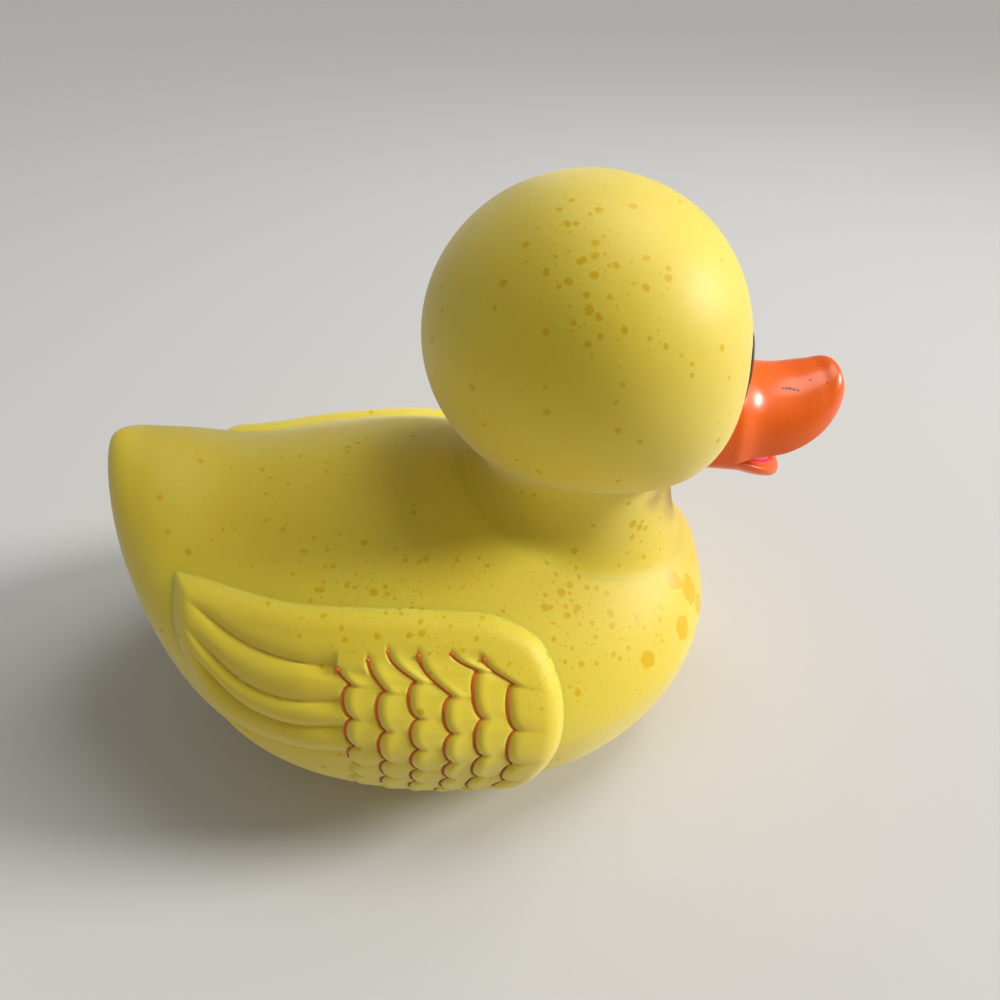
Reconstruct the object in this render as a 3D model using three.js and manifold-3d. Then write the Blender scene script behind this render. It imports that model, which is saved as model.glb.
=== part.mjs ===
// A large moulded vinyl bath duck, one piece, in millimetres.
// +X is where the bill points, +Z is up, and the origin lies in the flat underside.
import * as THREE from 'three';
import { mergeVertices } from 'three/addons/utils/BufferGeometryUtils.js';
import Module from 'manifold-3d';

// Driving sizes of the body. The side and plan profiles are shares of them.
const bodyLength = 326;
const bodyWidth = 266;
const backHeight = 156;
const tailOverhang = 182;
const baseTrim = 3;

// Head, a little flatter than a ball, and the puffed cheeks on either side of the bill.
const headWidth = 160;
const headHeight = 152;
const headForward = 64;
const headAboveBack = 63;
const cheekRise = 10;
const cheekSpread = 0.46;
const cheekYaw = 0.82;
const cheekPitch = -0.52;

// Neck: its waist, how far it spreads at the back and below the head, how far it follows their
// slopes, and how deep its ends lie in them.
const neckWidth = 104;
const neckSpreadBack = 14;
const neckSpreadHead = 8;
const neckPull = 15;
const neckBuried = 1.5;

// Eyes, raised ovals at the front of the face.
const eyeWidth = 27;
const eyeHeight = 38;
const eyeRise = 1.2;
const eyeYaw = 0.36;
const eyePitch = -0.1;

// Bill: a wide upper scoop with a turned-up tip, a shorter lower one, and a tongue between them.
const billReach = 66;
const billWidth = 68;
const billHeight = 38;
const billWall = 7;
const billInFace = 4;
const billTipRise = 20;
const mouthDrop = 55;
const mouthGap = 5;
const lowerBillReach = 40;
const lowerBillWidth = 58;
const lowerBillDepth = 12;
const lowerBillDroop = 20;
const lipRise = 3;
const dishDepth = 6;
const tongueReach = 33;
const tongueWidth = 44;
const tongueThickness = 5;
const tongueBelowLip = 1;

// Wings: how far they stand off the body, and the relief of their feathers.
const wingRise = 5.5;
const wingRim = 1.2;
const wingSink = 7;
const wingEdgeRoll = 9;
const longFeatherDepth = 2.4;
const shortFeatherStep = 2.8;
const stepRun = 3.4;
const shortFeatherFall = 1.6;
const featherArc = 7;
const grooveDepth = 3;
const grooveLength = 9;

// A soft hollow pressed into each side of the back, between the tail and the head.
const hollowDepth = 4;
const hollowLength = 68;
const hollowWidth = 32;

// How finely each form is divided.
const bodyRings = 37;
const bodySides = 40;
const headRings = 22;
const headSides = 32;
const wingRows = 32;

const wasm = await Module();
wasm.setup();

// A smooth curve through points, as a function of the first coordinate.
function smoothCurve(points) {
  const slope = points.map((point, i) => {
    const before = points[Math.max(i - 1, 0)];
    const after = points[Math.min(i + 1, points.length - 1)];
    return (after[1] - before[1]) / (after[0] - before[0]);
  });
  return (x) => {
    let i = 0;
    while (i < points.length - 2 && x > points[i + 1][0]) i += 1;
    const [x0, y0] = points[i];
    const [x1, y1] = points[i + 1];
    const t = THREE.MathUtils.clamp((x - x0) / (x1 - x0), 0, 1);
    const span = x1 - x0;
    const rise = t * t * (3 - 2 * t);
    const leave = t * (1 - t) * (1 - t) * span * slope[i];
    const arrive = t * t * (t - 1) * span * slope[i + 1];
    return y0 + (y1 - y0) * rise + leave + arrive;
  };
}

// How a form closes at its ends: 1 in the middle, 0 at -1 and 1, rounder or blunter by the power.
function closing(s, power) {
  return Math.pow(Math.max(1 - Math.pow(Math.abs(s), power), 0), 1 / power);
}

// A cosine or sine bent towards a square by the power, so that a ring becomes a superellipse.
function bent(value, power) {
  return Math.sign(value) * Math.pow(Math.abs(value), 2 / power);
}

// Side and plan profiles of the body, from the tail (-1) to the breast (1), as shares of its sizes.
const widestLine = smoothCurve([[-1, 0.90], [-0.86, 0.71], [-0.65, 0.565], [-0.35, 0.50],
  [0, 0.446], [0.35, 0.397], [0.7, 0.39], [1, 0.41]]);
const crownAbove = smoothCurve([[-1, 0.655], [-0.86, 0.566], [-0.65, 0.502], [-0.35, 0.515],
  [0, 0.542], [0.35, 0.536], [0.7, 0.514], [1, 0.49]]);
const planWidth = smoothCurve([[-1, 0.87], [-0.86, 0.945], [-0.65, 0.962], [-0.35, 0.975],
  [0, 1.0], [0.35, 1.01], [0.7, 0.97], [1, 0.90]]);
const tailClosing = { crown: 2.75, keel: 2.25, plan: 2.1 };
const breastClosing = { crown: 2.4, keel: 2.25, plan: 2.33 };
const sectionPower = { above: 1.56, below: 2.6 };

// A distance along the body, from the tail (-1) to the breast (1), as X in millimetres.
function alongBody(s) {
  return -tailOverhang + ((s + 1) * bodyLength) / 2;
}

// The body's section at a distance along X: its widest height, and its reach up, down and sideways.
function bodySection(x) {
  const s = THREE.MathUtils.clamp((2 * (x + tailOverhang)) / bodyLength - 1, -1, 1);
  const close = s < 0 ? tailClosing : breastClosing;
  const middle = widestLine(s) * backHeight;
  return {
    middle,
    above: crownAbove(s) * backHeight * closing(s, close.crown),
    below: (middle + baseTrim) * closing(s, close.keel),
    half: planWidth(s) * (bodyWidth / 2) * closing(s, close.plan),
  };
}

// Half the body's width at a distance along X and a height.
function bodyHalfWidth(x, z) {
  const section = bodySection(x);
  const up = z > section.middle;
  const reach = up ? section.above : section.below;
  const power = up ? sectionPower.above : sectionPower.below;
  return section.half * closing((z - section.middle) / reach, power);
}

// Height of the back above a point of the plan.
function backSurface(x, y) {
  const section = bodySection(x);
  return section.middle + section.above * closing(y / section.half, sectionPower.above);
}

// How far the hollows press the back down at a point of the plan.
const hollowAlong = alongBody(-0.4);
const hollowAside = bodyWidth * 0.215;
function hollowPress(x, y) {
  const u = (2 * (x - hollowAlong)) / hollowLength;
  const v = (2 * (Math.abs(y) - hollowAside)) / hollowWidth;
  return hollowDepth * Math.exp(-(u * u) - v * v);
}

// A closed solid from rings of points between two end points.
function solidFromRings(rings, first, last) {
  const sides = rings[0].length;
  const points = [first, ...rings.flat(), last];
  const end = points.length - 1;
  const index = [];
  for (let j = 0; j < sides; j += 1) {
    const k = (j + 1) % sides;
    index.push(0, 1 + k, 1 + j);
    const lastRing = 1 + (rings.length - 1) * sides;
    index.push(end, lastRing + j, lastRing + k);
    for (let i = 0; i < rings.length - 1; i += 1) {
      const a = 1 + i * sides + j;
      const b = 1 + i * sides + k;
      index.push(a, b, b + sides, a, b + sides, a + sides);
    }
  }
  return solid(points, index);
}

// Points and triangles become a manifold solid, turned right side out.
function solid(points, index) {
  const geometry = new THREE.BufferGeometry().setFromPoints(points);
  geometry.setIndex(index);
  return solidFromGeometry(geometry);
}

function solidFromGeometry(source) {
  const bare = source.clone();
  bare.deleteAttribute('normal');
  bare.deleteAttribute('uv');
  const merged = mergeVertices(bare, 1e-4);
  const triVerts = Uint32Array.from(merged.index.array);
  const vertProperties = Float32Array.from(merged.attributes.position.array);
  let volume = 0;
  const a = new THREE.Vector3();
  const b = new THREE.Vector3();
  const c = new THREE.Vector3();
  for (let i = 0; i < triVerts.length; i += 3) {
    a.fromArray(vertProperties, triVerts[i] * 3);
    b.fromArray(vertProperties, triVerts[i + 1] * 3);
    c.fromArray(vertProperties, triVerts[i + 2] * 3);
    volume += a.dot(b.cross(c));
  }
  if (volume < 0) {
    for (let i = 0; i < triVerts.length; i += 3) {
      [triVerts[i], triVerts[i + 1]] = [triVerts[i + 1], triVerts[i]];
    }
  }
  return new wasm.Manifold(new wasm.Mesh({ numProp: 3, vertProperties, triVerts }));
}

function makeBody() {
  const rings = [];
  for (let i = 1; i < bodyRings; i += 1) {
    const x = alongBody(-Math.cos((Math.PI * i) / bodyRings));
    const section = bodySection(x);
    const ring = [];
    for (let j = 0; j < bodySides; j += 1) {
      const turn = (2 * Math.PI * j) / bodySides;
      const up = Math.sin(turn) > 0;
      const power = up ? sectionPower.above : sectionPower.below;
      const reach = up ? section.above : section.below;
      const y = section.half * bent(Math.cos(turn), power);
      const z = section.middle + reach * bent(Math.sin(turn), power);
      ring.push(new THREE.Vector3(x, y, up ? z - hollowPress(x, y) : z));
    }
    rings.push(ring);
  }
  const end = (s) => new THREE.Vector3(alongBody(s), 0, bodySection(alongBody(s)).middle);
  return solidFromRings(rings, end(-1), end(1));
}

// The head's surface along a direction from its centre, cheeks included.
const headCentre = new THREE.Vector3(headForward, 0, backHeight + headAboveBack);
function headDirection(yaw, pitch) {
  return new THREE.Vector3(
    Math.cos(pitch) * Math.cos(yaw),
    Math.cos(pitch) * Math.sin(yaw),
    Math.sin(pitch),
  );
}
function headPoint(direction) {
  const radius = 1 / Math.hypot(
    direction.x / (headWidth / 2),
    direction.y / (headWidth / 2),
    direction.z / (headHeight / 2),
  );
  let rise = 0;
  for (const side of [-1, 1]) {
    const away = direction.angleTo(headDirection(side * cheekYaw, cheekPitch));
    rise += cheekRise * Math.exp(-((away / cheekSpread) ** 2));
  }
  return direction.clone().multiplyScalar(radius + rise).add(headCentre);
}

function makeHead() {
  const rings = [];
  for (let i = 1; i < headRings; i += 1) {
    const pitch = Math.PI / 2 - (Math.PI * i) / headRings;
    const ring = [];
    for (let j = 0; j < headSides; j += 1) {
      ring.push(headPoint(headDirection((2 * Math.PI * j) / headSides, pitch)));
    }
    rings.push(ring);
  }
  return solidFromRings(rings, headPoint(new THREE.Vector3(0, 0, 1)), headPoint(new THREE.Vector3(0, 0, -1)));
}

// The neck leaves the back along the back's slope and meets the head along the head's own, on a
// cubic curve for each bearing.
function makeNeck() {
  const levels = 8;
  const low = neckWidth / 2 + neckSpreadBack;
  const high = neckWidth / 2 + neckSpreadHead;
  const onHead = (reach) => {
    const level = Math.sqrt(1 - (reach / (headWidth / 2)) ** 2);
    return new THREE.Vector2(reach, headCentre.z - (headHeight / 2) * level + neckBuried);
  };
  const columns = Array.from({ length: headSides }, (_, j) => {
    const turn = (2 * Math.PI * j) / headSides;
    const onBack = (reach) => {
      const height = backSurface(headForward + reach * Math.cos(turn), reach * Math.sin(turn));
      return new THREE.Vector2(reach, height - neckBuried);
    };
    const from = onBack(low);
    const to = onHead(high);
    const leave = onBack(low - 1).sub(from).setLength(neckPull).add(from);
    const arrive = to.clone().sub(onHead(high + 1)).setLength(neckPull).add(to);
    return new THREE.CubicBezierCurve(from, leave, arrive, to)
      .getPoints(levels)
      .map(({ x, y }) => new THREE.Vector3(headForward + x * Math.cos(turn), x * Math.sin(turn), y));
  });
  const rings = Array.from({ length: levels + 1 }, (_, i) => columns.map((column) => column[i]));
  return solidFromRings(rings, new THREE.Vector3(headForward, 0, backHeight / 2), headCentre);
}

// A shallow oval button on the face: an outer skin that stands proud and an inner one in the head.
function makeEye(side) {
  const steps = 6;
  const sides = 24;
  const sink = 4;
  const rimSink = 0.4;
  const rimPower = 6;
  const facePoint = (share, turn, off) => {
    const yaw = side * eyeYaw + (share * eyeWidth * Math.cos(turn)) / headWidth;
    const pitch = eyePitch + (share * eyeHeight * Math.sin(turn)) / headHeight;
    const direction = headDirection(yaw, pitch);
    return headPoint(direction).addScaledVector(direction, off);
  };
  const skin = (share) => {
    const atRim = share ** rimPower;
    return eyeRise * Math.sqrt(1 - atRim) - rimSink * atRim;
  };
  const ringAt = (share, off) => Array.from({ length: sides }, (_, j) => (
    facePoint(share, (2 * Math.PI * j) / sides, off)));
  const rings = [];
  for (let i = 1; i <= steps; i += 1) rings.push(ringAt(i / steps, skin(i / steps)));
  rings.push(ringAt(1, -sink));
  return solidFromRings(rings, facePoint(0, 0, skin(0)), facePoint(0, 0, -sink));
}

// Bill profiles along its reach, from the face (0) to the tip (1). Heights are above the head's
// centre: the crown as a share of the bill's height, the rims as shares of their rise and droop.
const crownShare = smoothCurve([[-0.4, 1.08], [0, 1], [0.25, 0.88], [0.5, 0.82], [0.75, 0.88],
  [0.9, 0.92], [1, 0.68]]);
const rimShare = smoothCurve([[-0.4, 0.05], [0, 0], [0.45, 0], [0.75, 0.325], [0.95, 0.85], [1, 1]]);
const droopShare = smoothCurve([[-0.9, -0.3], [0, 0], [0.5, 0.42], [1, 1]]);
const billPlan = smoothCurve([[-0.4, 1.1], [0, 1.05], [0.2, 0.99], [0.5, 0.97], [0.8, 0.92], [1, 0.86]]);
const billCrown = (t) => billHeight * crownShare(t) - mouthDrop;
const billRim = (t) => billTipRise * rimShare(t) - mouthDrop;
const lowerRim = (t) => -mouthDrop - mouthGap - lowerBillDroop * droopShare(t);
const billFace = headForward + headWidth / 2 - billInFace;
const tipPower = 2.6;
const archPower = 0.8;

// One layer of the bill: its section runs over the top and back along the underside, with a
// thickness that fades to nothing at the two edges.
function makeBillLayer({ reach, width, start, steps, sides, over, under }) {
  const rings = [];
  for (let i = 0; i < steps; i += 1) {
    const t = start + (1 - start) * Math.sin((Math.PI * i) / (2 * steps));
    const half = (width / 2) * billPlan(t) * closing(Math.max(t, 0), tipPower);
    const ring = [];
    for (let j = 0; j < sides; j += 1) {
      const turn = (2 * Math.PI * j) / sides;
      const height = Math.sin(turn) >= 0 ? over(t, Math.sin(turn)) : under(t, -Math.sin(turn));
      ring.push(new THREE.Vector3(billFace + t * reach, half * Math.cos(turn), headCentre.z + height));
    }
    rings.push(ring);
  }
  const end = (t) => new THREE.Vector3(billFace + t * reach, 0, headCentre.z + over(t, 0));
  return solidFromRings(rings, end(start), end(1));
}

// The upper bill is filled from its crown down to the roof of the mouth.
function makeUpperBill() {
  return makeBillLayer({
    reach: billReach,
    width: billWidth,
    start: -0.4,
    steps: 16,
    sides: 28,
    over: (t, lift) => billRim(t) + (billCrown(t) - billRim(t)) * lift ** archPower,
    under: (t, lift) => billRim(t) - (billWall / 2) * Math.sqrt(lift),
  });
}

// The lower bill is a shallow dish with a rounded lip, and the tongue lies in it.
function makeLowerBill() {
  const inDish = (t, lift) => THREE.MathUtils.smoothstep(lift * closing(t, tipPower), 0.5, 0.85);
  return makeBillLayer({
    reach: lowerBillReach,
    width: lowerBillWidth,
    start: -0.9,
    steps: 12,
    sides: 24,
    over: (t, lift) => lowerRim(t) + lipRise * Math.sqrt(lift) - dishDepth * inDish(t, lift),
    under: (t, lift) => lowerRim(t) - lowerBillDepth * lift * closing(t, tipPower),
  });
}
function makeTongue() {
  const tongueLine = (t) => lowerRim((t * tongueReach) / lowerBillReach) - tongueBelowLip;
  return makeBillLayer({
    reach: tongueReach,
    width: tongueWidth,
    start: -0.9,
    steps: 10,
    sides: 20,
    over: (t, lift) => tongueLine(t) + lipRise * Math.sqrt(lift),
    under: (t, lift) => tongueLine(t) - tongueThickness * lift,
  });
}

// Wing outline in side view, as four edges of a patch. Each point is a place along the body, from
// the tail (-1) to the breast (1), and a share of the back's height.
const wingTop = [[-0.755, 0.885], [-0.675, 0.856], [-0.49, 0.834], [-0.288, 0.822], [-0.092, 0.81],
  [0.055, 0.794], [0.196, 0.762], [0.295, 0.715], [0.355, 0.65]];
const wingFront = [[0.355, 0.65], [0.386, 0.565], [0.386, 0.474], [0.355, 0.365], [0.305, 0.275],
  [0.24, 0.21]];
const wingRear = [[-0.755, 0.885], [-0.76, 0.78], [-0.735, 0.667], [-0.67, 0.525]];
const wingBottom = [[-0.67, 0.525], [-0.577, 0.397], [-0.43, 0.295], [-0.227, 0.23], [0, 0.199],
  [0.24, 0.21]];
const wingLength = (bodyLength * 1.1) / 2;
function edgeCurve(points) {
  return new THREE.SplineCurve(
    points.map(([s, share]) => new THREE.Vector2(alongBody(s), share * backHeight)),
  );
}
const edges = {
  top: edgeCurve(wingTop),
  front: edgeCurve(wingFront),
  rear: edgeCurve(wingRear),
  bottom: edgeCurve(wingBottom),
};

// A point of the patch: u from the rear edge to the front edge, v from the top edge to the bottom.
function wingPlace(u, v) {
  const place = edges.top.getPointAt(u).multiplyScalar(1 - v);
  place.addScaledVector(edges.bottom.getPointAt(u), v);
  place.addScaledVector(edges.rear.getPointAt(v), 1 - u);
  place.addScaledVector(edges.front.getPointAt(v), u);
  place.addScaledVector(edges.top.getPoint(0), -(1 - u) * (1 - v));
  place.addScaledVector(edges.top.getPoint(1), -u * (1 - v));
  place.addScaledVector(edges.bottom.getPoint(0), -(1 - u) * v);
  place.addScaledVector(edges.bottom.getPoint(1), -u * v);
  return place;
}

// How far a point of the patch lies inside the wing's outline in side view.
const outline = Object.values(edges).flatMap((edge) => edge.getSpacedPoints(48));
function outlineInset(place) {
  return Math.min(...outline.map((point) => point.distanceTo(place)));
}

// The rows of short feathers, from the tail forward: how far along the wing a row lies at its first
// notch, how far down that notch is, the notches' pitch, and how far the row's top end runs back.
const featherRows = [
  { at: 0.467, first: 0.258, pitch: 0.140, run: 0.034 },
  { at: 0.546, first: 0.258, pitch: 0.166, run: 0.042 },
  { at: 0.620, first: 0.217, pitch: 0.136, run: 0.070 },
  { at: 0.704, first: 0.262, pitch: 0.148, run: 0.080 },
  { at: 0.771, first: 0.183, pitch: 0.170, run: 0.067 },
  { at: 0.856, first: 0.217, pitch: 0.190, run: 0.075 },
];
const rowLean = 0.07;
const rowStart = 0.085;
function notchShare(row, v) {
  return ((v - row.first) / row.pitch) % 1;
}

// Share along the wing of a row's foot: arcs that bulge towards the tail between its notches.
function rowLine(row, v) {
  const { smoothstep } = THREE.MathUtils;
  if (v < row.first) {
    const back = Math.sin(Math.min((row.first - v) / rowStart, 1) * (Math.PI / 2));
    return row.at - row.run * back * smoothstep(v, 0, 0.1);
  }
  const arc = Math.sqrt(Math.max(1 - (2 * notchShare(row, v) - 1) ** 2, 0));
  return row.at + rowLean * (v - row.first) - (featherArc / wingLength) * arc * smoothstep(1 - v, 0, 0.1);
}

// Shares down the wing of a column's points: even steps, with the nearest moved onto each notch.
function sharesDown(row) {
  const shares = Array.from({ length: wingRows + 1 }, (_, j) => j / wingRows);
  for (let notch = row.first; notch < 1 - row.pitch / 4; notch += row.pitch) {
    shares[Math.round(notch * wingRows)] = notch;
  }
  return shares;
}

// Columns of the wing's grid, each a share of the way from one row's foot to the next: even steps
// over the long feathers, then the foot, crest and back of each row, then the plain front.
function wingColumns() {
  const longShares = [0, 0.05, 0.18, 0.36, 0.54, 0.7, 0.85];
  const rowShares = [0, 0.28, 0.64];
  const frontShares = [0, 0.15, 0.45, 0.75, 1];
  const columns = longShares.map((share) => ({ ahead: featherRows[0], share }));
  featherRows.forEach((row, k) => {
    const ahead = featherRows[k + 1];
    (ahead ? rowShares : frontShares).forEach((share) => columns.push({ row, ahead, share }));
  });
  return columns;
}
function columnPlace({ row, ahead, share }, v) {
  const from = row ? rowLine(row, v) : 0;
  const to = ahead ? rowLine(ahead, v) : 1;
  return from + (to - from) * share;
}

// Long feathers are pillows between lines that run along the wing.
const featherLines = [[0.1, 0.19, 0.19], [0.23, 0.375, 0.31], [0.36, 0.505, 0.42], [0.93, 0.75, 0.565]]
  .map(([tail, middle, front]) => smoothCurve([[0, tail], [0.2, middle], [0.47, front]]));
function longFeatherRelief(u, v) {
  const lines = [...featherLines.map((line) => line(u)), 1.3];
  const next = lines.findIndex((line) => line > v);
  const start = next === 0 ? -lines[0] : lines[next - 1];
  const across = (v - start) / (lines[next] - start);
  const pillow = Math.sqrt(Math.sin(Math.PI * across));
  return longFeatherDepth * (pillow - 1) * THREE.MathUtils.smoothstep(u, 0.02, 0.14);
}

// Short feathers step up at their row's foot, are grooved at the notches, and fall to the next row.
function shortFeatherRelief({ row, ahead, share }, u, v) {
  const start = row.first - rowStart;
  const forward = (u - rowLine(row, v)) * wingLength;
  const step = Math.min(forward / stepRun, 1) - 1;
  const between = v < row.first ? 0 : (1 - Math.sin(Math.PI * notchShare(row, v))) ** 0.7;
  const groove = grooveDepth * between * (1 + step) * Math.exp(-forward / grooveLength);
  const fall = ahead ? shortFeatherFall * share : 0;
  const begun = THREE.MathUtils.smoothstep(v, start, start + rowStart / 2);
  return (shortFeatherStep * step - groove - fall) * begun;
}

// Height of the wing above the body at a column and a share down the wing.
function wingRelief(column, u, v) {
  const inset = outlineInset(wingPlace(u, v));
  const roll = Math.sqrt(1 - (1 - Math.min(inset / wingEdgeRoll, 1)) ** 2);
  const feathers = column.row ? shortFeatherRelief(column, u, v) : longFeatherRelief(u, v);
  const inner = THREE.MathUtils.smoothstep(inset, wingEdgeRoll / 3, wingEdgeRoll * 1.3);
  return wingRim + (wingRise - wingRim) * roll + feathers * inner;
}

// A wing is a closed patch: its outer skin carries the relief, and its inner skin is in the body.
function makeWing(side) {
  const columns = wingColumns();
  const points = [];
  const place = (x, z, off) => {
    const step = 1;
    const slopeX = (bodyHalfWidth(x + step, z) - bodyHalfWidth(x - step, z)) / (2 * step);
    const slopeZ = (bodyHalfWidth(x, z + step) - bodyHalfWidth(x, z - step)) / (2 * step);
    const normal = new THREE.Vector3(-slopeX, 1, -slopeZ).normalize();
    const point = new THREE.Vector3(x, bodyHalfWidth(x, z), z).addScaledVector(normal, off);
    point.y *= side;
    return point;
  };
  for (const outer of [true, false]) {
    for (const column of columns) {
      for (const v of sharesDown(column.row ?? column.ahead)) {
        const u = columnPlace(column, v);
        const spot = wingPlace(u, v);
        points.push(place(spot.x, spot.y, outer ? wingRelief(column, u, v) : -wingSink));
      }
    }
  }
  const wide = wingRows + 1;
  const inner = columns.length * wide;
  const index = [];
  for (let i = 0; i < columns.length - 1; i += 1) {
    for (let j = 0; j < wingRows; j += 1) {
      const a = i * wide + j;
      const b = inner + a;
      index.push(a, a + 1, a + wide + 1, a, a + wide + 1, a + wide);
      index.push(b, b + wide + 1, b + 1, b, b + wide, b + wide + 1);
    }
  }
  const rim = [];
  for (let j = 0; j < wingRows; j += 1) rim.push(j);
  for (let i = 0; i < columns.length - 1; i += 1) rim.push(i * wide + wingRows);
  for (let j = wingRows; j > 0; j -= 1) rim.push((columns.length - 1) * wide + j);
  for (let i = columns.length - 1; i > 0; i -= 1) rim.push(i * wide);
  rim.forEach((a, k) => {
    const b = rim[(k + 1) % rim.length];
    index.push(a, inner + a, inner + b, a, inner + b, b);
  });
  return solid(points, index);
}

// Everything below the flat underside is cut away.
function makeTable() {
  const depth = 40;
  const block = new THREE.BoxGeometry(bodyLength * 2, bodyWidth * 2, depth);
  block.translate(0, 0, -depth / 2);
  return solidFromGeometry(block);
}

const vinyl = new THREE.MeshStandardMaterial({ color: 0xe3c93a, roughness: 0.62, metalness: 0 });
const billPaint = new THREE.MeshStandardMaterial({ color: 0xf0591b, roughness: 0.25, metalness: 0 });
const tonguePaint = new THREE.MeshStandardMaterial({ color: 0xf2317c, roughness: 0.35, metalness: 0 });
const eyePaint = new THREE.MeshStandardMaterial({ color: 0x120d0a, roughness: 0.3, metalness: 0 });

// The duck is moulded in one piece: the forms are joined, then the underside is cut flat.
const forms = [
  { form: makeBody(), material: vinyl },
  { form: makeNeck(), material: vinyl },
  { form: makeHead(), material: vinyl },
  { form: makeWing(-1), material: vinyl },
  { form: makeWing(1), material: vinyl },
  { form: makeUpperBill(), material: billPaint },
  { form: makeLowerBill(), material: billPaint },
  { form: makeTongue(), material: tonguePaint },
  { form: makeEye(-1), material: eyePaint },
  { form: makeEye(1), material: eyePaint },
];
const materials = [vinyl, billPaint, tonguePaint, eyePaint];
const paintOf = new Map();
let moulding = null;
for (const { form, material } of forms) {
  const original = form.asOriginal();
  paintOf.set(original.originalID(), materials.indexOf(material));
  moulding = moulding ? moulding.add(original) : original;
}
const table = makeTable().asOriginal();
paintOf.set(table.originalID(), materials.indexOf(vinyl));
const result = moulding.subtract(table).getMesh();

const geometry = new THREE.BufferGeometry();
geometry.setAttribute('position', new THREE.BufferAttribute(result.vertProperties, 3));
geometry.setIndex(new THREE.BufferAttribute(result.triVerts, 1));
for (let run = 0; run < result.runOriginalID.length; run += 1) {
  const start = result.runIndex[run];
  geometry.addGroup(start, result.runIndex[run + 1] - start, paintOf.get(result.runOriginalID[run]));
}
geometry.computeVertexNormals();

const duck = new THREE.Mesh(geometry, materials);
duck.name = 'duck';

const group = new THREE.Group();
group.add(duck);

export default group;
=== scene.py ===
# %% [markdown]
# # A large vinyl bath duck
# The real duck is one hollow moulding of soft PVC, cast in a closed metal mould and pulled out
# through a small hole. Its bill, tongue and eyes are only paint. Here each differently finished
# region is a piece of its own, because a piece can then have its own mesh density and material.

# %% Set up
import bpy
import numpy as np
from mathutils import Matrix, Vector


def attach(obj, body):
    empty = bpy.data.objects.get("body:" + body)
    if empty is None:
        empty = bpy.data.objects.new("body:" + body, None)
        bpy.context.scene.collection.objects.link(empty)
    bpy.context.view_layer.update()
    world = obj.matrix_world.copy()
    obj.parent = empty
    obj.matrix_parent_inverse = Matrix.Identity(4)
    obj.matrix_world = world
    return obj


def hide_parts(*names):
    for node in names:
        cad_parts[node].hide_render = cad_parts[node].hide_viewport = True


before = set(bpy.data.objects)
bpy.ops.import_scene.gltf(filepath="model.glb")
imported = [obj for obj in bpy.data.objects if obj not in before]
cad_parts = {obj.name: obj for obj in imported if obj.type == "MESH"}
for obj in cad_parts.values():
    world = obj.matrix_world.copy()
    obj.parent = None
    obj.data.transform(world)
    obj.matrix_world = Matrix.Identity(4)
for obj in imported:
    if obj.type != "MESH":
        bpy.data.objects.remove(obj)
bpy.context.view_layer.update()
print("solids:", sorted(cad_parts))

# %% [markdown]
# ## Units, colours and nodes
# The sizes below are in millimetres, as a mould maker would write them, and become metres only
# when a mesh is made. Colours are written as sRGB codes, because that is how a colour is read
# off a swatch, and one function turns them into the linear values that a shader works with.

# %% Units and colours
MM = 0.001


def linear(code):
    """A colour code such as "#f05a1b" as linear red, green, blue and alpha."""
    parts = [int(code[i:i + 2], 16) / 255 for i in (1, 3, 5)]
    return tuple(c / 12.92 if c <= 0.04045 else ((c + 0.055) / 1.055) ** 2.4 for c in parts) + (1.0,)


print("orange paint is", [round(value, 3) for value in linear("#f05a1b")], "linear")

# %% One small function that adds a node


def add_node(tree, kind, inputs=None, out=0, **settings):
    """Adds a node and returns one output. An input is a value, or an output that gets linked."""
    node = tree.nodes.new(kind)
    for name, value in settings.items():
        setattr(node, name, value)
    for key, value in (inputs or {}).items():
        socket = node.inputs[key]
        if isinstance(value, bpy.types.NodeSocket):
            tree.links.new(value, socket)
        else:
            socket.default_value = value
    return node.outputs[out] if len(node.outputs) else None


print("add_node serves materials and Geometry Nodes")

# %% [markdown]
# ## The body's rule
# A moulded toy body is a set of soft sections along its length. Each section is a superellipse:
# a ring that is rounder or squarer by one power. Its widest height, its reach up and down and its
# width are smooth curves from the tail to the breast. Drawing the curves first and lofting a
# surface through them is how a pattern maker would carve it, and it keeps the back free of dents
# that hand-moved points would leave.

# %% Sizes of the body
body_length, body_width, back_height = 326.0, 266.0, 156.0
tail_overhang, base_trim = 182.0, 3.0


def smooth_curve(points):
    """A smooth curve through points, as a function of the first coordinate."""
    xs, ys = np.array(points, float).T
    last = len(xs) - 1
    slope = [(ys[min(i + 1, last)] - ys[max(i - 1, 0)]) / (xs[min(i + 1, last)] - xs[max(i - 1, 0)])
             for i in range(last + 1)]
    slope = np.array(slope)

    def value(x):
        x = np.asarray(x, float)
        i = np.clip(np.searchsorted(xs, x) - 1, 0, last - 1)
        span = xs[i + 1] - xs[i]
        t = np.clip((x - xs[i]) / span, 0, 1)
        leave = t * (1 - t) ** 2 * span * slope[i]
        arrive = t * t * (t - 1) * span * slope[i + 1]
        return ys[i] + (ys[i + 1] - ys[i]) * t * t * (3 - 2 * t) + leave + arrive

    return value


def turns(sides):
    """The angles of the points on a ring."""
    return 2 * np.pi * np.arange(sides) / sides


def closing(share, power):
    """1 in the middle and 0 at -1 and 1, rounder or blunter by the power."""
    return np.maximum(1 - np.abs(share) ** power, 0) ** (1 / power)


print("the body is", body_length, "mm long and", body_width, "mm wide")

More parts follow.
